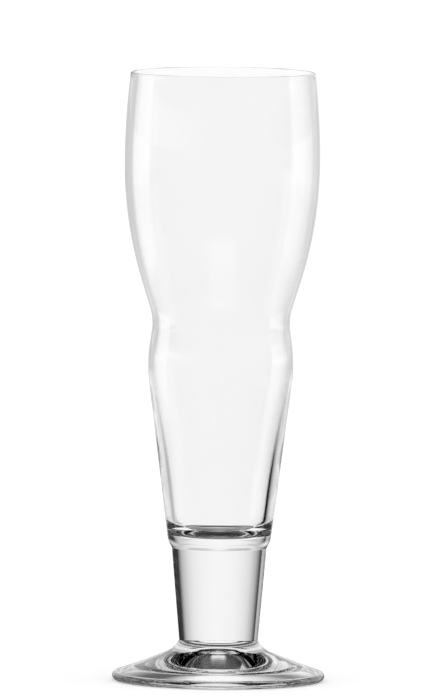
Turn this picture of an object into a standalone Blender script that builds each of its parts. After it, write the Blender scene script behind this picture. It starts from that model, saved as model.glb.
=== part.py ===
"""A footed cocktail glass: a blown bowl, a solid stem and a cone-shaped foot.

The three pieces of clear glass are turned about the z axis and welded hot at two flat
joints. Sizes are in metres and angles in degrees. The glass stands on z = 0.
"""

import math

import bmesh
import bpy

# Overall sizes
GLASS_HEIGHT = 0.2250
BELLY_RADIUS = 0.0361
BELLY_HEIGHT = 0.1918
FOOT_RADIUS = 0.0392

# Heights of the two welds, and the gap that stands for each weld line
UPPER_WELD_HEIGHT = 0.0492
LOWER_WELD_HEIGHT = 0.0149
WELD_GAP = 0.0003

# Outside of the bowl, from the rim down: radii of its arcs, lengths of its straights
RIM_ARC = 0.272
SHOULDER_ARC = 0.1485
THROAT_ANGLE = 17.3
THROAT_LENGTH = 0.0105
WAIST_ARC = 0.0187
NECK_ANGLE = 8.5
NECK_LENGTH = 0.0041
BULGE_ARC = 0.0559
FLANK_ANGLE = 7.3
HEEL_ARC = 0.0096
HEEL_ANGLE = 34.7

# Wall of the bowl: thin at the rim, and heavier from the lower bulge down to the base
UPPER_WALL = 0.0009
LOWER_WALL = 0.0036
WALL_GROWS_FROM = 0.122
WALL_GROWS_TO = 0.066
CAVITY_FLOOR_HEIGHT = 0.0533
CAVITY_CORNER_ARC = 0.0080

# Stem: its top is as wide as the seat under the bowl
STEM_FOOT_RADIUS = 0.01447
WELD_ROUND = 0.0004

# Top of the foot: collar below the stem, hollow-sided cone and rounded edge
COLLAR_ANGLE = 27.6
COLLAR_ARC = 0.01016
CONE_TOP_ANGLE = 66.4
CONE_EDGE_ANGLE = 71.6
EDGE_TOP_ARC = 0.0016

# Underside of the foot: standing ring, bevel, low dome and the punt in its middle
RING_INNER_RADIUS = 0.0368
BEVEL_ANGLE = 24
BEVEL_LENGTH = 0.0055
BEVEL_ARC = 0.012
DOME_ANGLE = 7
PUNT_RADIUS = 0.0090
PUNT_EDGE_ARC = 0.006
PUNT_ANGLE = 34

# Fineness of the turned surfaces
SIDES = 48
CHORD_ERROR = 0.00005
WALL_STEP = 0.006
SHARP_ANGLE = 20
MERGE_DISTANCE = 0.000001

GLASS_COLOUR = (0.96, 0.98, 0.97, 1.0)
GLASS_ROUGHNESS = 0.02
GLASS_REFRACTION = 1.52


class Outline:
    """A line in the half plane of radius and height, drawn down the glass.

    The heading is the angle away from straight down. It is positive toward the axis.
    """

    def __init__(self, radius, height, heading):
        self.points = [(radius, height)]
        self.headings = [heading]

    def end(self):
        return self.points[-1]

    def corner(self, heading):
        """Change the heading on the spot."""
        self.headings[-1] = heading

    def line(self, length, longest_step=1.0):
        """Go straight on, in steps no longer than the longest step."""
        radius, height = self.end()
        heading = self.headings[-1]
        angle = math.radians(heading)
        steps = math.ceil(length / longest_step)
        for step in range(1, steps + 1):
            gone = length * step / steps
            self.points.append((radius - gone * math.sin(angle), height - gone * math.cos(angle)))
            self.headings.append(heading)

    def arc(self, arc_radius, end_heading):
        """Turn on an arc until the line has the end heading."""
        radius, height = self.end()
        start = math.radians(self.headings[-1])
        turn = math.radians(end_heading) - start
        side = math.copysign(arc_radius, turn)
        widest_step = 2 * math.acos(1 - CHORD_ERROR / arc_radius)
        steps = math.ceil(abs(turn) / widest_step)
        for step in range(1, steps + 1):
            angle = start + turn * step / steps
            self.points.append((
                radius - side * (math.cos(start) - math.cos(angle)),
                height - side * (math.sin(angle) - math.sin(start)),
            ))
            self.headings.append(math.degrees(angle))


def smooth_step(value):
    value = min(max(value, 0.0), 1.0)
    return value * value * (3 - 2 * value)


def wall_at(height):
    """Thickness of the bowl's wall at a height on its outside."""
    grown = smooth_step((WALL_GROWS_FROM - height) / (WALL_GROWS_FROM - WALL_GROWS_TO))
    return UPPER_WALL + (LOWER_WALL - UPPER_WALL) * grown


def bowl_outside():
    """Outside of the bowl, from the rim's outer edge down to the weld."""
    rim_round = UPPER_WALL / 2
    rim_angle = math.asin((GLASS_HEIGHT - rim_round - BELLY_HEIGHT) / (RIM_ARC - rim_round))
    outside = Outline(
        BELLY_RADIUS - RIM_ARC * (1 - math.cos(rim_angle)),
        BELLY_HEIGHT + RIM_ARC * math.sin(rim_angle),
        -math.degrees(rim_angle),
    )
    outside.arc(RIM_ARC, 0)
    outside.arc(SHOULDER_ARC, THROAT_ANGLE)
    outside.line(THROAT_LENGTH)
    outside.arc(WAIST_ARC, -NECK_ANGLE)
    outside.line(NECK_LENGTH)
    outside.arc(BULGE_ARC, FLANK_ANGLE)
    flank = math.radians(FLANK_ANGLE)
    heel_drop = HEEL_ARC * (math.sin(math.radians(HEEL_ANGLE)) - math.sin(flank))
    heel_top = UPPER_WELD_HEIGHT + WELD_GAP / 2 + heel_drop
    outside.line((outside.end()[1] - heel_top) / math.cos(flank), WALL_STEP)
    outside.arc(HEEL_ARC, HEEL_ANGLE)
    return outside


def bowl_inside(outside):
    """Inside of the bowl, from the rim's inner edge down to the middle of the floor."""
    wall_points = []
    for (radius, height), heading in zip(outside.points, outside.headings):
        if height > WALL_GROWS_TO:
            wall = wall_at(height)
            angle = math.radians(heading)
            wall_points.append((radius - wall * math.cos(angle), height + wall * math.sin(angle)))
    flank = math.radians(FLANK_ANGLE)
    corner_top = CAVITY_FLOOR_HEIGHT + CAVITY_CORNER_ARC * (1 - math.sin(flank))
    bottom = Outline(*wall_points[-1], FLANK_ANGLE)
    bottom.line((bottom.end()[1] - corner_top) / math.cos(flank))
    bottom.arc(CAVITY_CORNER_ARC, 90)
    bottom.line(bottom.end()[0])
    return wall_points + bottom.points[1:]


def bowl_outline(outside):
    """Closed outline of the bowl: up the inside, over the rim and down the outside."""
    inside = bowl_inside(outside)
    rim_heading = outside.headings[0]
    rim = Outline(*inside[0], rim_heading - 180)
    rim.arc(UPPER_WALL / 2, rim_heading)
    seat_middle = (0.0, outside.end()[1])
    return inside[:0:-1] + rim.points + outside.points[1:] + [seat_middle]


def stem_outline(top_radius):
    """Outline of the stem, a straight taper with softly rounded ends."""
    top = UPPER_WELD_HEIGHT - WELD_GAP / 2
    bottom = LOWER_WELD_HEIGHT + WELD_GAP / 2
    taper = math.atan((top_radius - STEM_FOOT_RADIUS) / (top - bottom))
    stem = Outline(0.0, top, -90)
    stem.line(top_radius - WELD_ROUND)
    stem.arc(WELD_ROUND, math.degrees(taper))
    stem.line((top - bottom - 2 * WELD_ROUND) / math.cos(taper))
    stem.arc(WELD_ROUND, 90)
    stem.line(stem.end()[0])
    return stem.points


def foot_outline():
    """Outline of the foot: over the top, round the edge and in along the underside."""
    foot = Outline(0.0, LOWER_WELD_HEIGHT - WELD_GAP / 2, -90)
    foot.line(STEM_FOOT_RADIUS)
    foot.corner(-COLLAR_ANGLE)
    foot.arc(COLLAR_ARC, -CONE_TOP_ANGLE)
    top = math.cos(math.radians(CONE_TOP_ANGLE))
    edge = math.cos(math.radians(CONE_EDGE_ANGLE))
    edge_radius = FOOT_RADIUS - EDGE_TOP_ARC * (1 - edge)
    foot.arc((edge_radius - foot.end()[0]) / (top - edge), -CONE_EDGE_ANGLE)
    foot.arc(EDGE_TOP_ARC, 0)
    foot.arc(foot.end()[1], 90)
    foot.line(foot.end()[0] - RING_INNER_RADIUS)
    foot.corner(90 + BEVEL_ANGLE)
    foot.line(BEVEL_LENGTH)
    foot.arc(BEVEL_ARC, 90 + DOME_ANGLE)
    foot.line((foot.end()[0] - PUNT_RADIUS) / math.cos(math.radians(DOME_ANGLE)))
    foot.arc(PUNT_EDGE_ARC, 90 + PUNT_ANGLE)
    foot.arc(foot.end()[0] / math.sin(math.radians(PUNT_ANGLE)), 90)
    return foot.points


def clear_glass(name):
    material = bpy.data.materials.new(name)
    material.use_nodes = True
    shader = material.node_tree.nodes["Principled BSDF"]
    shader.inputs["Base Color"].default_value = GLASS_COLOUR
    shader.inputs["Metallic"].default_value = 0.0
    shader.inputs["Roughness"].default_value = GLASS_ROUGHNESS
    shader.inputs["IOR"].default_value = GLASS_REFRACTION
    shader.inputs["Transmission Weight"].default_value = 1.0
    return material


def turned_piece(name, outline, base_height, parent):
    """Turn an outline about the z axis into one closed piece that sits at its base height."""
    shape = bmesh.new()
    points = [shape.verts.new((radius, 0.0, height - base_height)) for radius, height in outline]
    edges = [shape.edges.new(pair) for pair in zip(points, points[1:])]
    bmesh.ops.spin(
        shape,
        geom=points + edges,
        cent=(0, 0, 0),
        axis=(0, 0, 1),
        angle=math.tau,
        steps=SIDES,
        use_merge=True,
    )
    bmesh.ops.remove_doubles(shape, verts=shape.verts, dist=MERGE_DISTANCE)
    bmesh.ops.recalc_face_normals(shape, faces=shape.faces)
    mesh = bpy.data.meshes.new(name)
    shape.to_mesh(mesh)
    shape.free()
    mesh.shade_smooth()
    mesh.set_sharp_from_angle(angle=math.radians(SHARP_ANGLE))
    mesh.materials.append(clear_glass(name + "_glass"))
    piece = bpy.data.objects.new(name, mesh)
    piece.location.z = base_height
    piece.parent = parent
    bpy.context.collection.objects.link(piece)
    return piece


def build_glass():
    glass = bpy.data.objects.new("cocktail_glass", None)
    bpy.context.collection.objects.link(glass)
    outside = bowl_outside()
    seat_radius, seat_height = outside.end()
    turned_piece("bowl", bowl_outline(outside), seat_height, glass)
    turned_piece("stem", stem_outline(seat_radius), LOWER_WELD_HEIGHT, glass)
    turned_piece("foot", foot_outline(), 0.0, glass)


for old_object in list(bpy.data.objects):
    bpy.data.objects.remove(old_object)
build_glass()
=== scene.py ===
"""Looks of the footed cocktail glass: three pieces of clear glass in a white studio.

Sizes are in metres and angles in degrees. The glass stands on z = 0, and its axis is z.
"""

import math

import bmesh
import bpy
from mathutils import Euler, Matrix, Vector


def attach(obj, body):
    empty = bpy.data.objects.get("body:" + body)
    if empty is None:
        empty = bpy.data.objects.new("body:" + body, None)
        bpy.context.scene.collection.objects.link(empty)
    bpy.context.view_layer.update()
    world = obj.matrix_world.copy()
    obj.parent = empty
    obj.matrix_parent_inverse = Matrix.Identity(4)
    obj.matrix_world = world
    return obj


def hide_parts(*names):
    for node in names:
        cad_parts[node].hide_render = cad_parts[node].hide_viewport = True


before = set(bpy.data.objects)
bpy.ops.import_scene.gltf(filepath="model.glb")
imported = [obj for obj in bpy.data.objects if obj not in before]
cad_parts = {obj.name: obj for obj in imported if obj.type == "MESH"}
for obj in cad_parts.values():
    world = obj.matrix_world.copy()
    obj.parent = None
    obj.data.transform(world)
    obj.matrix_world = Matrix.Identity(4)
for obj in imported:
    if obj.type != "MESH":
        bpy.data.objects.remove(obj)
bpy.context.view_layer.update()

# Overall sizes
GLASS_HEIGHT = 0.2250
BELLY_RADIUS = 0.0361
BELLY_HEIGHT = 0.1918
FOOT_RADIUS = 0.0392

# Heights of the two welds
UPPER_WELD_HEIGHT = 0.0492
LOWER_WELD_HEIGHT = 0.0149

# Outside of the bowl, from the rim down: radii of its arcs, lengths of its straights
RIM_ARC = 0.272
SHOULDER_ARC = 0.1485
THROAT_ANGLE = 17.3
THROAT_LENGTH = 0.0105
WAIST_ARC = 0.0187
NECK_ANGLE = 8.5
NECK_LENGTH = 0.0041
BULGE_ARC = 0.0559
FLANK_ANGLE = 7.3
HEEL_ARC = 0.0096
HEEL_ANGLE = 34.7

# Wall of the bowl: thin at the rim, and heavier from the lower bulge down to the base
UPPER_WALL = 0.0009
LOWER_WALL = 0.0036
WALL_GROWS_FROM = 0.122
WALL_GROWS_TO = 0.066
CAVITY_FLOOR_HEIGHT = 0.0533
CAVITY_CORNER_ARC = 0.0080

# Stem: its top is as wide as the seat under the bowl
STEM_FOOT_RADIUS = 0.01447
WELD_ROUND = 0.0001

# Top of the foot: collar below the stem, hollow-sided cone and rounded edge
COLLAR_ANGLE = 27.6
COLLAR_ARC = 0.01016
CONE_TOP_ANGLE = 66.4
CONE_EDGE_ANGLE = 71.6
EDGE_TOP_ARC = 0.0016

# Underside of the foot: standing ring, bevel, low dome and the punt in its middle
RING_INNER_RADIUS = 0.0368
BEVEL_ANGLE = 24
BEVEL_LENGTH = 0.0055
BEVEL_ARC = 0.012
DOME_ANGLE = 7
PUNT_RADIUS = 0.0090
PUNT_EDGE_ARC = 0.006
PUNT_ANGLE = 34

# Fineness of the turned surfaces
BOWL_SIDES = 256
SOLID_SIDES = 384
CHORD_ERROR = 0.000004
WIDEST_TURN = 4
WALL_STEP = 0.001
SHARP_ANGLE = 20
MERGE_DISTANCE = 0.0000001
WELD_MARGIN = 0.000001

# Surface of the glass: haze of the polish, waves, streaks and fine rings
GLASS_REFRACTION = 1.52
POLISH_SCALE = 70
POLISH_DETAIL = 3
POLISH_RANGE = (0.35, 0.65)
BOWL_HAZE = 0.010
STEM_HAZE = 0.008
FOOT_HAZE = 0.010
RELIEF_DETAIL = 1
WAVE_SCALE = 45
WAVE_Z_SCALE = 0.35
WAVE_DEPTH = 0.00005
STREAK_SCALE = 160
STREAK_Z_SCALE = 0.12
STREAK_DEPTH = 0.000008
RING_PITCH = 0.0008
RING_DEPTH = 0.000001

# Radians by which the wave texture turns over a unit of length, at a scale of 1
WAVE_TEXTURE_TURN = 20

# Camera, placed from the photograph, with its lens in millimetres
TARGET = Vector((-0.00088, 0.0, 0.1222))
CAMERA_DISTANCE = 6.0
CAMERA_ELEVATION = 4.2
CAMERA_ROLL = 0.49
CAMERA_LENS = 836
CLIP_NEAR = 0.1
CLIP_FAR = 100

# The thin wall guides light down from the rim, so light is followed through many bounces
BOUNCES = 1024

# Rings of brightness, by the angle to the right of straight behind the glass

# The low ring is near the horizon, with dark screens at the sides.
LOW_RING = [
    (-180, 0.04), (-150, 0.10), (-125, 0.60), (-96, 0.75), (-58.5, 0.68), (-56, 0.08), (-52, 0.10),
    (-47, 0.31), (-42.5, 0.49), (-38, 0.61), (-31, 0.79), (-25, 0.87), (-15, 0.96), (0, 1.0),
    (15, 0.965), (25, 0.885), (31, 0.79), (38, 0.64), (42, 0.58), (48, 0.30), (53, 0.04), (180, 0.04),
]

# The wall ring is on the floor, for light that turns once inside a wall.
WALL_RING = [
    (-180, 0.04), (-100, 0.04), (-80, 0.70), (-58, 0.78), (-52, 0.64), (-48, 0.52), (-45, 0.58),
    (-42, 0.74), (-38, 0.86), (-31, 0.94), (-15, 0.98), (0, 1.0), (15, 0.97), (25, 0.89), (32, 0.79),
    (37, 0.64), (41, 0.45), (44, 0.36), (46, 0.20), (48, 0.05), (50, 0.0), (180, 0.04),
]

# The high ring is over the screens. Deep inside the glass the turned ring takes its place.
BACKDROP_STOPS = [
    (-50, 0.82), (-41, 0.66), (-30, 0.58), (-19, 0.60), (-10, 0.68), (-5, 0.88), (0, 1.00),
    (5, 0.88), (10, 0.72), (19, 0.66), (30, 0.64), (45, 0.68),
]
HIGH_RING = [
    (-180, 0.04), (-110, 0.08), (-87, 0.06), (-81, 0.95), (-60, 0.95),
    *BACKDROP_STOPS,
    (60, 0.66), (75, 0.62), (88, 0.64), (95, 0.26), (105, 0.20), (125, 0.10), (180, 0.04),
]
TURNED_RING = [
    (-180, 0.04), (-103, 0.05), (-96, 1.0), (-84, 0.90), (-70, 0.88), (-60, 1.10),
    *BACKDROP_STOPS,
    (60, 0.75), (70, 0.25), (88, 0.25), (95, 0.20), (105, 0.12), (125, 0.05), (180, 0.04),
]

# The ceiling is over the backdrop, and the lamp is on the camera's side.
CEILING_RING = [
    (-180, 0.0), (-104, 0.0), (-96, 0.80), (-45, 0.80), (0, 0.90), (45, 0.80), (90, 0.0), (180, 0.0),
]
LAMP_RING = [(-180, 1.0), (-164, 1.0), (-156, 0.0), (156, 0.0), (164, 1.0), (180, 1.0)]

# The ring under the foot is painted light and shade on the floor that the cone of the foot covers.
UNDER_FOOT_LIGHT_AND_SHADE = [
    (-180, 1.0), (-160, 1.0), (-147, 0.50), (-141, 0.23), (-136, 0.08), (-118, 0.08), (-108, 0.20),
    (-100, 0.28), (-92, 0.45), (-84, 0.75), (-60, 0.85), (60, 0.90), (84, 1.05), (100, 0.70),
    (113, 0.30), (123, 0.20), (129, 0.35), (137, 0.60), (145, 0.78), (160, 1.0), (180, 1.0),
]

# Angles above the horizon between which the zones of the studio begin and end
LEVEL_FOOT = (-3, -1.8)
LEVEL_HEAD = (3.5, 5)
HORIZON = (-3, 0)
SCREEN_TOP = (10, 21)
CEILING = (20, 32)
LAMP_FOOT = (18, 22)
LAMP_HEAD = (29, 33)

# Ray depths in the studio: turned inside the glass, too deep for the level zone, and deep
TURNED = (3, 4)
PAST_LEVEL = (5, 6)
DEEP = (6, 7)

# Ray depths on the floor: turned once in a wall, through two walls, and turned further
ONE_TURN = 3
TWO_WALLS = 4
MORE_TURNS = (4, 5)
DEPTH_MARGIN = 0.5

# Ray depths in both: where light is lost in the glass, and where the wall has guided it
LOST_LIGHT = (9, 12)
GUIDED = (90, 120)

# Levels of brightness
SOFT_LIGHT = 1.0
FLOOR_BRIGHT = 1.06
ONE_WALL_BRIGHT = 1.03
GUIDED_LIGHT = 0.9
STEM_ECHO = 0.2
# Grey of the painted shade that edges the waist
WAIST_SHADE_GREY = 0.75
# Grey at the outer edge of the painted shade under the stem
UNDER_STEM_SHADE_GREY = 0.55
# Darkness of the painted contact shadow round the foot's edge
CONTACT_SHADOW_DARK = 0.1
DEEP_DARK = 0.03
WHITE = (1.0, 1.0, 1.0, 1.0)

# Floor: its disc, and the distances from the axis between which its zones begin and end
FLOOR_RADIUS = 9.0
FLOOR_SEGMENTS = 96
FLOOR_DROP = 0.0002
FLOOR_ALBEDO = 0.75
FLOOR_GLOW = 0.32
# Painted shade under the stem, from dark at the middle to grey
UNDER_STEM = (0.024, 0.028)
# Ring of the painted contact shadow round the foot's edge
CONTACT_SHADOW_INSIDE = (0.0340, 0.0365)
CONTACT_SHADOW_OUTSIDE = (0.043, 0.048)
UNDER_FOOT = (0.040, 0.048)
MIRROR_REACH = (0.36, 0.48)
ECHO_REACH = (0.45, 0.70)
# Distances of the painted grey shade that edges the waist
WAIST_NEAR = (0.65, 0.85)
WAIST_FAR = (1.4, 1.8)
HIGH_REACH = (0.9, 1.9)

# Painted bright lane on the floor behind the glass: its edge, its ends by slope, and the painted grey
# shade beside it
LANE_LEAST = 0.001
LANE_SPREAD = 0.076
LANE_EDGE = (0.050, 0.130)
LANE_END = (0.30, 0.36)
LANE_REACH = (0.6, 0.9)
LANE_MIDDLE = 0.001
LANE_LEFT = 0.65
LANE_RIGHT = 0.85


class Outline:
    """A line in the half plane of radius and height, drawn down the glass.

    The heading is the angle away from straight down. It is positive toward the axis.
    """

    def __init__(self, radius, height, heading):
        self.points = [(radius, height)]
        self.headings = [heading]

    def end(self):
        return self.points[-1]

    def corner(self, heading):
        """Change the heading on the spot."""
        self.headings[-1] = heading

    def line(self, length, longest_step=1.0):
        """Go straight on, in steps no longer than the longest step."""
        radius, height = self.end()
        heading = self.headings[-1]
        angle = math.radians(heading)
        steps = math.ceil(length / longest_step)
        for step in range(1, steps + 1):
            gone = length * step / steps
            self.points.append((radius - gone * math.sin(angle), height - gone * math.cos(angle)))
            self.headings.append(heading)

    def arc(self, arc_radius, end_heading):
        """Turn on an arc until the line has the end heading."""
        radius, height = self.end()
        start = math.radians(self.headings[-1])
        turn = math.radians(end_heading) - start
        side = math.copysign(arc_radius, turn)
        widest_step = min(2 * math.acos(1 - CHORD_ERROR / arc_radius), math.radians(WIDEST_TURN))
        steps = math.ceil(abs(turn) / widest_step)
        for step in range(1, steps + 1):
            angle = start + turn * step / steps
            self.points.append((
                radius - side * (math.cos(start) - math.cos(angle)),
                height - side * (math.sin(angle) - math.sin(start)),
            ))
            self.headings.append(math.degrees(angle))


def smooth_step(value):
    value = min(max(value, 0.0), 1.0)
    return value * value * (3 - 2 * value)


def wall_at(height):
    """Thickness of the bowl's wall at a height on its outside."""
    grown = smooth_step((WALL_GROWS_FROM - height) / (WALL_GROWS_FROM - WALL_GROWS_TO))
    return UPPER_WALL + (LOWER_WALL - UPPER_WALL) * grown


def bowl_outside():
    """Outside of the bowl, from the rim's outer edge down to the weld."""
    rim_round = UPPER_WALL / 2
    rim_angle = math.asin((GLASS_HEIGHT - rim_round - BELLY_HEIGHT) / (RIM_ARC - rim_round))
    outside = Outline(
        BELLY_RADIUS - RIM_ARC * (1 - math.cos(rim_angle)),
        BELLY_HEIGHT + RIM_ARC * math.sin(rim_angle),
        -math.degrees(rim_angle),
    )
    outside.arc(RIM_ARC, 0)
    outside.arc(SHOULDER_ARC, THROAT_ANGLE)
    outside.line(THROAT_LENGTH, WALL_STEP)
    outside.arc(WAIST_ARC, -NECK_ANGLE)
    outside.line(NECK_LENGTH, WALL_STEP)
    outside.arc(BULGE_ARC, FLANK_ANGLE)
    flank = math.radians(FLANK_ANGLE)
    heel_drop = HEEL_ARC * (math.sin(math.radians(HEEL_ANGLE)) - math.sin(flank))
    heel_top = UPPER_WELD_HEIGHT + heel_drop
    outside.line((outside.end()[1] - heel_top) / math.cos(flank), WALL_STEP)
    outside.arc(HEEL_ARC, HEEL_ANGLE)
    return outside


def bowl_inside(outside):
    """Inside of the bowl, from the rim's inner edge down to the middle of the floor."""
    wall_points = []
    for (radius, height), heading in zip(outside.points, outside.headings):
        if height > WALL_GROWS_TO:
            wall = wall_at(height)
            angle = math.radians(heading)
            wall_points.append((radius - wall * math.cos(angle), height + wall * math.sin(angle)))
    flank = math.radians(FLANK_ANGLE)
    corner_top = CAVITY_FLOOR_HEIGHT + CAVITY_CORNER_ARC * (1 - math.sin(flank))
    bottom = Outline(*wall_points[-1], FLANK_ANGLE)
    bottom.line((bottom.end()[1] - corner_top) / math.cos(flank), WALL_STEP)
    bottom.arc(CAVITY_CORNER_ARC, 90)
    bottom.line(bottom.end()[0])
    return wall_points + bottom.points[1:]


def bowl_outline(outside):
    """Closed outline of the bowl: up the inside, over the rim and down the outside."""
    inside = bowl_inside(outside)
    rim_heading = outside.headings[0]
    rim = Outline(*inside[0], rim_heading - 180)
    rim.arc(UPPER_WALL / 2, rim_heading)
    seat_middle = (0.0, outside.end()[1])
    return inside[:0:-1] + rim.points + outside.points[1:] + [seat_middle]


def stem_outline(top_radius):
    """Outline of the stem, a straight taper with softly rounded ends."""
    taper = math.atan((top_radius - STEM_FOOT_RADIUS) / (UPPER_WELD_HEIGHT - LOWER_WELD_HEIGHT))
    stem = Outline(0.0, UPPER_WELD_HEIGHT, -90)
    stem.line(top_radius - WELD_ROUND)
    stem.arc(WELD_ROUND, math.degrees(taper))
    stem.line((UPPER_WELD_HEIGHT - LOWER_WELD_HEIGHT - 2 * WELD_ROUND) / math.cos(taper), WALL_STEP)
    stem.arc(WELD_ROUND, 90)
    stem.line(stem.end()[0])
    return stem.points


def foot_outline():
    """Outline of the foot: over the top, round the edge and in along the underside."""
    foot = Outline(0.0, LOWER_WELD_HEIGHT, -90)
    foot.line(STEM_FOOT_RADIUS)
    foot.corner(-COLLAR_ANGLE)
    foot.arc(COLLAR_ARC, -CONE_TOP_ANGLE)
    top = math.cos(math.radians(CONE_TOP_ANGLE))
    edge = math.cos(math.radians(CONE_EDGE_ANGLE))
    edge_radius = FOOT_RADIUS - EDGE_TOP_ARC * (1 - edge)
    foot.arc((edge_radius - foot.end()[0]) / (top - edge), -CONE_EDGE_ANGLE)
    foot.arc(EDGE_TOP_ARC, 0)
    foot.arc(foot.end()[1], 90)
    foot.line(foot.end()[0] - RING_INNER_RADIUS)
    foot.corner(90 + BEVEL_ANGLE)
    foot.line(BEVEL_LENGTH, WALL_STEP)
    foot.arc(BEVEL_ARC, 90 + DOME_ANGLE)
    foot.line((foot.end()[0] - PUNT_RADIUS) / math.cos(math.radians(DOME_ANGLE)), WALL_STEP)
    foot.arc(PUNT_EDGE_ARC, 90 + PUNT_ANGLE)
    foot.arc(foot.end()[0] / math.sin(math.radians(PUNT_ANGLE)), 90)
    return foot.points


class Nodes:
    """Short ways to add nodes to one node tree."""

    def __init__(self, tree):
        self.tree = tree

    def add(self, kind):
        return self.tree.nodes.new("ShaderNode" + kind)

    def feed(self, socket, value):
        if isinstance(value, bpy.types.NodeSocket):
            self.tree.links.new(value, socket)
        else:
            socket.default_value = value

    def math(self, operation, *values):
        node = self.add("Math")
        node.operation = operation
        for socket, value in zip(node.inputs, values):
            self.feed(socket, value)
        return node.outputs[0]

    def times(self, first, second):
        return self.math("MULTIPLY", first, second)

    def equals(self, depth, count):
        """Be 1 at one ray depth, and 0 at the others."""
        return self.math("COMPARE", depth, count, DEPTH_MARGIN)

    def unless(self, share, other):
        """Be the share where the other is 0, and 0 where the other is 1."""
        return self.math("MAXIMUM", self.math("SUBTRACT", share, other), 0)

    def blend(self, value, start, end, low, high):
        """Go smoothly from low at the start to high at the end."""
        node = self.add("MapRange")
        node.interpolation_type = "SMOOTHSTEP"
        for name, setting in (
            ("Value", value),
            ("From Min", start),
            ("From Max", end),
            ("To Min", low),
            ("To Max", high),
        ):
            self.feed(node.inputs[name], setting)
        return node.outputs["Result"]

    def rise(self, value, pair):
        """Go from 0 to 1 between the two values of the pair."""
        return self.blend(value, *pair, 0, 1)

    def fall(self, value, pair):
        """Go from 1 to 0 between the two values of the pair."""
        return self.blend(value, *pair, 1, 0)

    def band(self, value, foot, head):
        """Rise over the first pair of values, and fall over the second."""
        return self.times(self.rise(value, foot), self.fall(value, head))

    def mix(self, low, high, share):
        node = self.add("Mix")
        for name, setting in (("A", low), ("B", high), ("Factor", share)):
            self.feed(node.inputs[name], setting)
        return node.outputs["Result"]

    def noise(self, place, scale, detail):
        node = self.add("TexNoise")
        self.feed(node.inputs["Vector"], place)
        node.inputs["Scale"].default_value = scale
        node.inputs["Detail"].default_value = detail
        return node.outputs["Fac"]

    def ring(self, axes, stops):
        """Brightness round the z axis, from a list of angles in degrees and levels."""
        turn = self.math("ARCTAN2", axes.outputs["X"], axes.outputs["Y"])
        place = self.math("MULTIPLY_ADD", turn, 1 / math.tau, 0.5)
        ramp = self.add("ValToRGB")
        self.feed(ramp.inputs["Fac"], place)
        elements = ramp.color_ramp.elements
        elements.remove(elements[-1])
        for index, (stop_angle, level) in enumerate(stops):
            position = stop_angle / 360 + 0.5
            element = elements[0] if index == 0 else elements.new(position)
            element.position = position
            element.color = (level, level, level, 1.0)
        return ramp.outputs["Color"]

    def choose(self, plain, in_glass):
        """One shader in the open, and another for what the glass shows."""
        choice = self.add("MixShader")
        self.feed(choice.inputs["Fac"], self.add("LightPath").outputs["Is Glossy Ray"])
        self.feed(choice.inputs[1], plain)
        self.feed(choice.inputs[2], in_glass)
        return choice.outputs[0]


class ClearGlass:
    """Colourless glass whose polish varies a little, with a low relief."""

    def __init__(self, name, haze):
        self.material = bpy.data.materials.new(name)
        self.material.use_nodes = True
        self.nodes = Nodes(self.material.node_tree)
        self.place = self.nodes.add("TexCoord").outputs["Object"]
        self.shader = self.material.node_tree.nodes["Principled BSDF"]
        self.shader.inputs["Base Color"].default_value = WHITE
        self.shader.inputs["IOR"].default_value = GLASS_REFRACTION
        self.shader.inputs["Transmission Weight"].default_value = 1.0
        self.polish(haze)

    def polish(self, haze):
        cloud = self.nodes.noise(self.place, POLISH_SCALE, POLISH_DETAIL)
        uneven = self.nodes.blend(cloud, *POLISH_RANGE, 0.0, haze)
        self.nodes.feed(self.shader.inputs["Roughness"], uneven)

    def relief(self, height, depth):
        bump = self.nodes.add("Bump")
        bump.inputs["Distance"].default_value = depth
        self.nodes.feed(bump.inputs["Height"], height)
        self.nodes.feed(self.shader.inputs["Normal"], bump.outputs["Normal"])

    def lengthwise_relief(self, scale, z_scale, depth):
        """A soft relief that is drawn out along the axis of the glass."""
        stretch = self.nodes.add("Mapping")
        stretch.inputs["Scale"].default_value = (1.0, 1.0, z_scale)
        self.nodes.feed(stretch.inputs["Vector"], self.place)
        self.relief(self.nodes.noise(stretch.outputs["Vector"], scale, RELIEF_DETAIL), depth)


def blown_glass():
    """Glass of the bowl, with the long soft waves that blowing leaves."""
    glass = ClearGlass("blown_glass", BOWL_HAZE)
    glass.lengthwise_relief(WAVE_SCALE, WAVE_Z_SCALE, WAVE_DEPTH)
    return glass.material


def drawn_glass():
    """Glass of the stem, with faint lengthwise streaks."""
    glass = ClearGlass("drawn_glass", STEM_HAZE)
    glass.lengthwise_relief(STREAK_SCALE, STREAK_Z_SCALE, STREAK_DEPTH)
    return glass.material


def pressed_glass():
    """Glass of the foot, with the fine turned rings of its mould."""
    glass = ClearGlass("pressed_glass", FOOT_HAZE)
    rings = glass.nodes.add("TexWave")
    rings.wave_type = "RINGS"
    rings.rings_direction = "Z"
    glass.nodes.feed(rings.inputs["Vector"], glass.place)
    rings.inputs["Scale"].default_value = math.tau / WAVE_TEXTURE_TURN / RING_PITCH
    rings.inputs["Distortion"].default_value = 0.0
    glass.relief(rings.outputs["Fac"], RING_DEPTH)
    return glass.material


def weld_line():
    """Inner face of a weld, where glass runs on into glass."""
    material = bpy.data.materials.new("weld_line")
    material.use_nodes = True
    material.node_tree.nodes.clear()
    nodes = Nodes(material.node_tree)
    output = nodes.add("OutputMaterial")
    nodes.feed(output.inputs["Surface"], nodes.add("BsdfTransparent").outputs["BSDF"])
    return material


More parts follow.
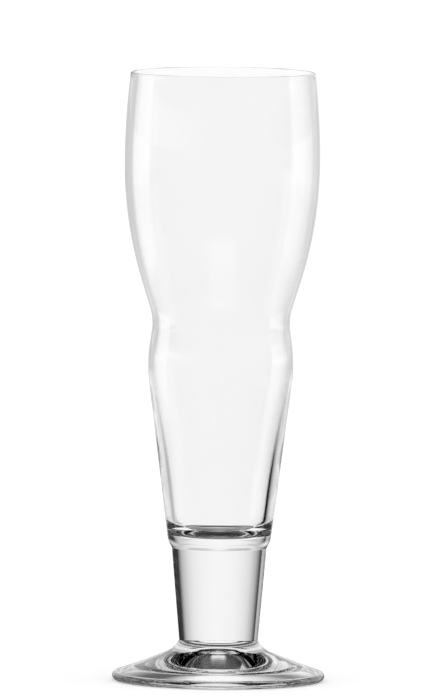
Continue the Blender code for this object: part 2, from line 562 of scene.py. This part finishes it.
def turned_piece(name, outline, sides, glass, weld_heights, weld):
    """Turn an outline about the z axis, and mark its weld faces."""
    shape = bmesh.new()
    points = [shape.verts.new((radius, 0.0, height)) for radius, height in outline]
    edges = [shape.edges.new(pair) for pair in zip(points, points[1:])]
    bmesh.ops.spin(
        shape,
        geom=points + edges,
        cent=(0, 0, 0),
        axis=(0, 0, 1),
        angle=math.tau,
        steps=sides,
        use_merge=True,
    )
    bmesh.ops.remove_doubles(shape, verts=shape.verts, dist=MERGE_DISTANCE)
    bmesh.ops.recalc_face_normals(shape, faces=shape.faces)
    for face in shape.faces:
        for height in weld_heights:
            if all(abs(vert.co.z - height) < WELD_MARGIN for vert in face.verts):
                face.material_index = 1
    mesh = bpy.data.meshes.new(name)
    shape.to_mesh(mesh)
    shape.free()
    mesh.shade_smooth()
    mesh.set_sharp_from_angle(angle=math.radians(SHARP_ANGLE))
    mesh.materials.append(glass)
    mesh.materials.append(weld)
    piece = bpy.data.objects.new(name + "_glass", mesh)
    bpy.context.collection.objects.link(piece)
    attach(piece, "root")
    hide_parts(name)


def build_glass():
    weld = weld_line()
    outside = bowl_outside()
    stem = stem_outline(outside.end()[0])
    both_welds = [UPPER_WELD_HEIGHT, LOWER_WELD_HEIGHT]
    turned_piece("bowl", bowl_outline(outside), BOWL_SIDES, blown_glass(), [UPPER_WELD_HEIGHT], weld)
    turned_piece("stem", stem, SOLID_SIDES, drawn_glass(), both_welds, weld)
    turned_piece("foot", foot_outline(), SOLID_SIDES, pressed_glass(), [LOWER_WELD_HEIGHT], weld)


def room_light(nodes):
    """Brightness of the studio in the glass: backdrop, side screens, ceiling and lamp."""
    axes = nodes.add("SeparateXYZ")
    nodes.feed(axes.inputs[0], nodes.add("TexCoord").outputs["Generated"])
    height = nodes.math("DEGREES", nodes.math("ARCSINE", axes.outputs["Z"]))
    seen = nodes.add("LightPath")
    depth = seen.outputs["Ray Depth"]
    passed = seen.outputs["Is Transmission Ray"]
    reflected = nodes.math("SUBTRACT", 1, passed)
    welded = nodes.math("MINIMUM", seen.outputs["Transparent Depth"], 1)
    turned = nodes.rise(depth, TURNED)
    deep = nodes.rise(depth, DEEP)

    # Turned light looks over the side screens, unless it is level or has crossed a weld
    level = nodes.times(nodes.band(height, LEVEL_FOOT, LEVEL_HEAD), nodes.fall(depth, PAST_LEVEL))
    lifted = nodes.unless(turned, nodes.math("MAXIMUM", welded, level))
    over_screens = nodes.math("MAXIMUM", nodes.rise(height, SCREEN_TOP), reflected)
    over_screens = nodes.math("MAXIMUM", lifted, over_screens)
    high = nodes.mix(nodes.ring(axes, HIGH_RING), nodes.ring(axes, TURNED_RING), deep)
    room = nodes.mix(nodes.ring(axes, LOW_RING), high, over_screens)

    # Below the horizon the room is a little brighter, and the welds dim turned light
    gain = nodes.mix(nodes.mix(ONE_WALL_BRIGHT, FLOOR_BRIGHT, turned), 1, reflected)
    room = nodes.times(room, nodes.blend(height, *HORIZON, gain, 1))
    room = nodes.times(room, nodes.mix(1, STEM_ECHO, nodes.times(welded, turned)))

    # Ceiling: for turned light until it is lost in the glass, and dark in plain reflections
    above = nodes.times(nodes.rise(height, CEILING), nodes.math("MAXIMUM", turned, reflected))
    kept = nodes.times(nodes.fall(depth, LOST_LIGHT), passed)
    ceiling = nodes.times(nodes.ring(axes, CEILING_RING), kept)
    room = nodes.mix(room, ceiling, above)

    # Light that the wall guides, and the lamp on the camera's side
    room = nodes.mix(room, GUIDED_LIGHT, nodes.unless(nodes.rise(depth, GUIDED), welded))
    lamp = nodes.times(nodes.band(height, LAMP_FOOT, LAMP_HEAD), deep)
    return nodes.math("MULTIPLY_ADD", nodes.ring(axes, LAMP_RING), lamp, room)


def background(nodes, strength):
    light = nodes.add("Background")
    light.inputs["Color"].default_value = WHITE
    nodes.feed(light.inputs["Strength"], strength)
    return light.outputs[0]


def studio_world():
    """White for the camera, soft light for the floor, and the room for the glass."""
    world = bpy.data.worlds.new("studio")
    bpy.context.scene.world = world
    world.use_nodes = True
    world.node_tree.nodes.clear()
    nodes = Nodes(world.node_tree)
    plain = background(nodes, SOFT_LIGHT)
    studio = background(nodes, room_light(nodes))
    output = nodes.add("OutputWorld")
    nodes.feed(output.inputs["Surface"], nodes.choose(plain, studio))


class FloorLight:
    """Painted light and shade of the floor in the glass, by the place on it and the way of the light.
    """

    def __init__(self, nodes):
        self.nodes = nodes
        place = nodes.add("TexCoord").outputs["Object"]
        self.axes = nodes.add("SeparateXYZ")
        nodes.feed(self.axes.inputs[0], place)
        reach = nodes.add("VectorMath")
        reach.operation = "LENGTH"
        nodes.feed(reach.inputs[0], place)
        self.distance = reach.outputs["Value"]
        seen = nodes.add("LightPath")
        self.depth = seen.outputs["Ray Depth"]
        self.passed = seen.outputs["Is Transmission Ray"]
        self.welded = nodes.math("MINIMUM", seen.outputs["Transparent Depth"], 1)
        self.high = nodes.ring(self.axes, HIGH_RING)

    def under_foot(self):
        """Painted light and shade under the foot: by the angle below its cone, and painted shade from
        dark to grey through the welds.
        """
        nodes = self.nodes
        # Painted shade under the stem, dark in the middle and grey further out
        middle = nodes.blend(self.distance, *UNDER_STEM, DEEP_DARK, UNDER_STEM_SHADE_GREY)
        level = nodes.mix(nodes.ring(self.axes, UNDER_FOOT_LIGHT_AND_SHADE), middle, self.welded)
        return nodes.times(level, nodes.blend(self.depth, *LOST_LIGHT, 1, DEEP_DARK))

    def lane(self):
        """Behind the bowl: a painted bright lane that widens, and painted grey shade beside it
        through two walls.
        """
        nodes = self.nodes
        right = self.axes.outputs["X"]
        across = nodes.math("ABSOLUTE", right)
        behind = nodes.math("MAXIMUM", self.axes.outputs["Y"], LANE_LEAST)
        past_edge = nodes.math("SUBTRACT", across, nodes.times(behind, LANE_SPREAD))
        slope = nodes.math("DIVIDE", across, behind)
        beside = nodes.times(nodes.rise(past_edge, LANE_EDGE), nodes.fall(slope, LANE_END))
        two_walls = nodes.unless(nodes.equals(self.depth, TWO_WALLS), self.welded)
        # Painted shade beside the lane, darker on the left than on the right
        grey = nodes.blend(right, -LANE_MIDDLE, LANE_MIDDLE, LANE_LEFT, LANE_RIGHT)
        grey = nodes.blend(self.distance, *LANE_REACH, FLOOR_BRIGHT, grey)
        return nodes.mix(FLOOR_BRIGHT, grey, nodes.times(beside, two_walls))

    def in_wall(self):
        """For light that turns once inside a wall, with a zone of painted grey shade that edges the
        waist.
        """
        nodes = self.nodes
        wall = nodes.ring(self.axes, WALL_RING)
        level = nodes.mix(wall, self.high, nodes.rise(self.distance, HIGH_REACH))
        # Painted grey shade in a band of distance, which darkens the waist's edges
        waist = nodes.band(self.distance, WAIST_NEAR, WAIST_FAR)
        return nodes.times(level, nodes.mix(1, WAIST_SHADE_GREY, waist))

    def beyond_foot(self):
        nodes = self.nodes
        echo = nodes.mix(DEEP_DARK, self.high, nodes.rise(self.distance, ECHO_REACH))
        level = nodes.mix(self.lane(), echo, nodes.rise(self.depth, MORE_TURNS))
        level = nodes.mix(level, self.in_wall(), nodes.equals(self.depth, ONE_TURN))
        guided = nodes.unless(nodes.rise(self.depth, GUIDED), self.welded)
        return nodes.mix(level, GUIDED_LIGHT, guided)

    def through_glass(self):
        """The floor through the glass, with a painted contact shadow: a dark line where the foot's
        edge stands on it.
        """
        nodes = self.nodes
        beyond = nodes.rise(self.distance, UNDER_FOOT)
        level = nodes.mix(self.under_foot(), self.beyond_foot(), beyond)
        # Painted contact shadow: a dark ring on the floor where the foot's edge stands
        painted_contact_shadow = nodes.band(self.distance, CONTACT_SHADOW_INSIDE, CONTACT_SHADOW_OUTSIDE)
        return nodes.times(level, nodes.mix(1, CONTACT_SHADOW_DARK, painted_contact_shadow))

    def in_glass(self):
        """Painted light and shade of the floor through the glass, or a painted reflection of it on
        the glass's outside, dark near the glass.
        """
        nodes = self.nodes
        mirrored = nodes.mix(DEEP_DARK, self.high, nodes.rise(self.distance, MIRROR_REACH))
        return nodes.mix(mirrored, self.through_glass(), self.passed)


def floor_white():
    """Matt white in the open; in the glass the floor glows with zones of painted light and shade."""
    material = bpy.data.materials.new("floor_white")
    material.use_nodes = True
    nodes = Nodes(material.node_tree)
    shader = material.node_tree.nodes["Principled BSDF"]
    shader.inputs["Base Color"].default_value = (FLOOR_ALBEDO, FLOOR_ALBEDO, FLOOR_ALBEDO, 1.0)
    shader.inputs["Roughness"].default_value = 1.0
    shader.inputs["Specular IOR Level"].default_value = 0.0
    shader.inputs["Emission Color"].default_value = WHITE
    shader.inputs["Emission Strength"].default_value = FLOOR_GLOW
    # In the glass the floor glows with painted light and shade, though it is no lamp
    painted_glass_light = nodes.add("Emission")
    nodes.feed(painted_glass_light.inputs["Strength"], FloorLight(nodes).in_glass())
    output = material.node_tree.nodes["Material Output"]
    nodes.feed(output.inputs["Surface"], nodes.choose(shader.outputs[0], painted_glass_light.outputs[0]))
    return material


def studio_floor():
    shape = bmesh.new()
    bmesh.ops.create_circle(shape, cap_ends=True, segments=FLOOR_SEGMENTS, radius=FLOOR_RADIUS)
    mesh = bpy.data.meshes.new("floor")
    shape.to_mesh(mesh)
    shape.free()
    mesh.materials.append(floor_white())
    floor = bpy.data.objects.new("floor", mesh)
    floor.location.z = -FLOOR_DROP
    bpy.context.collection.objects.link(floor)


def photo_camera():
    data = bpy.data.cameras.new("camera")
    data.lens = CAMERA_LENS
    data.clip_start = CLIP_NEAR
    data.clip_end = CLIP_FAR
    camera = bpy.data.objects.new("camera", data)
    bpy.context.collection.objects.link(camera)
    elevation = math.radians(CAMERA_ELEVATION)
    away = Vector((0.0, -math.cos(elevation), math.sin(elevation)))
    camera.location = TARGET + away * CAMERA_DISTANCE
    level = Euler((math.pi / 2 - elevation, 0.0, 0.0)).to_matrix()
    roll = Euler((0.0, 0.0, math.radians(CAMERA_ROLL))).to_matrix()
    camera.rotation_euler = (level @ roll).to_euler()
    bpy.context.scene.camera = camera


build_glass()
studio_world()
studio_floor()
photo_camera()
scene = bpy.context.scene
scene.view_settings.view_transform = "Standard"
scene.cycles.max_bounces = BOUNCES
scene.cycles.transmission_bounces = BOUNCES
scene.cycles.glossy_bounces = BOUNCES
scene.cycles.transparent_max_bounces = BOUNCES
